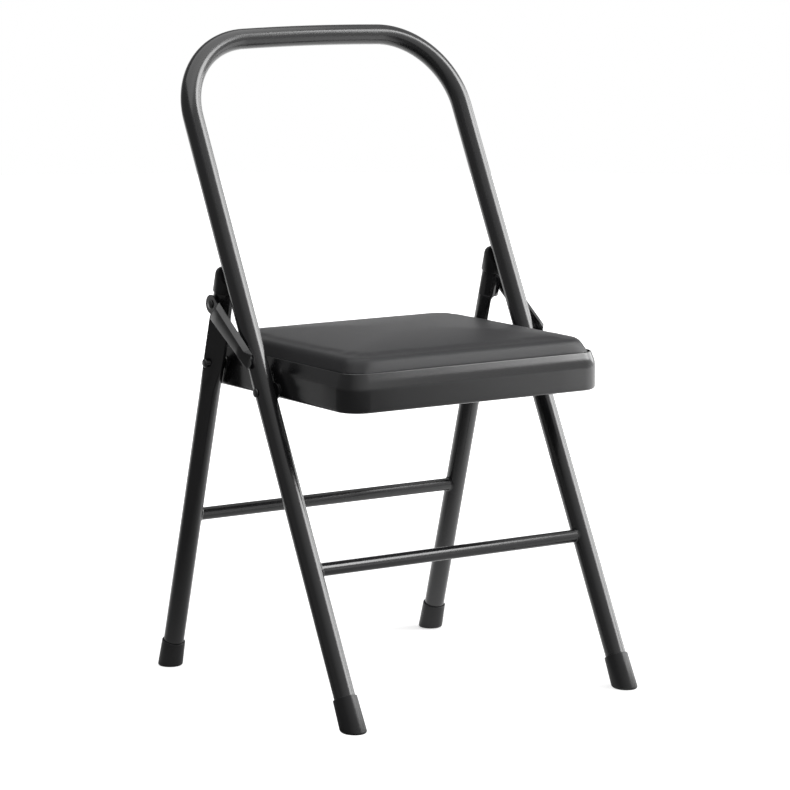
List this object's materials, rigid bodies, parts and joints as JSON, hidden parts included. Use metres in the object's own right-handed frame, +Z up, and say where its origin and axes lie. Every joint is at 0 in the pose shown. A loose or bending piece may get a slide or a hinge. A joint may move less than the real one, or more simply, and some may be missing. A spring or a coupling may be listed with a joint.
{
  "type": "folding yoga chair",
  "caption": "Folding yoga chair with a leaning tube frame and open backrest, a padded seat in a pressed pan, hinged rear legs, side links and rubber feet.",
  "frame": {"origin": "floor level, middle of the chair's outline seen from above", "axes": "+Z up, the chair faces -Y, X from side to side"},
  "size_m": [0.4464, 0.4523, 0.8],
  "materials": {
    "tube_steel": "satin black powder coat",
    "pressed_steel": "satin black powder coat",
    "foot_rubber": "matt",
    "cap_plastic": "matt",
    "cushion_cover": "soft satin",
    "board": "raw",
    "fasteners": "satin black"
  },
  "bodies": {
    "front_frame": {"front_frame_tube": "tube_steel", "front_crossbar": "tube_steel", "front_foot_left": "foot_rubber", "front_foot_right": "foot_rubber", "seat_pivot_rivet_left": "fasteners", "seat_pivot_rivet_right": "fasteners", "seat_pivot_spacer_left": "fasteners", "seat_pivot_spacer_right": "fasteners", "link_pivot_rivet_left": "fasteners", "link_pivot_rivet_right": "fasteners", "link_spacer_left": "fasteners", "link_spacer_right": "fasteners"},
    "seat": {"seat_pan": "pressed_steel", "seat_cushion": "cushion_cover", "cushion_board": "board", "cushion_screw_1": "fasteners", "cushion_screw_2": "fasteners", "cushion_screw_3": "fasteners", "cushion_screw_4": "fasteners", "hinge_plate_left": "pressed_steel", "hinge_plate_right": "pressed_steel"},
    "rear_legs": {"rear_leg_left": "tube_steel", "rear_leg_right": "tube_steel", "rear_crossbar": "tube_steel", "rear_foot_left": "foot_rubber", "rear_foot_right": "foot_rubber", "rear_cap_left": "cap_plastic", "rear_cap_right": "cap_plastic", "rear_pivot_rivet_left": "fasteners", "rear_pivot_rivet_right": "fasteners", "rear_pivot_spacer_left": "fasteners", "rear_pivot_spacer_right": "fasteners", "link_rear_washer_left": "fasteners", "link_rear_washer_right": "fasteners"},
    "link_left": {"side_link_left": "pressed_steel", "link_rear_rivet_left": "fasteners"},
    "link_right": {"side_link_right": "pressed_steel", "link_rear_rivet_right": "fasteners"}
  },
  "joints": [
    {"name": "seat_fold", "type": "hinge", "parent": "front_frame", "child": "seat", "pos_m": [0, -0.01923, 0.378], "axis": [-1, 0, 0], "range_deg": [0, 113.39]},
    {"name": "rear_leg_fold", "type": "hinge", "parent": "seat", "child": "rear_legs", "pos_m": [0, 0.0977, 0.4], "axis": [-1, 0, 0], "range_deg": [-70.81, 0]},
    {"name": "link_left_fold", "type": "hinge", "parent": "front_frame", "child": "link_left", "pos_m": [-0.217, 0.00282, 0.42158], "axis": [-1, 0, 0], "range_deg": [0, 134.21]},
    {"name": "link_right_fold", "type": "hinge", "parent": "front_frame", "child": "link_right", "pos_m": [0.217, 0.00282, 0.42158], "axis": [-1, 0, 0], "range_deg": [0, 134.21]}
  ],
  "couplings": [
    {"joint": "rear_leg_fold", "follows": "seat_fold", "ratio": -0.6244},
    {"joint": "link_left_fold", "follows": "seat_fold", "ratio": 1.1835},
    {"joint": "link_right_fold", "follows": "seat_fold", "ratio": 1.1835}
  ]
}
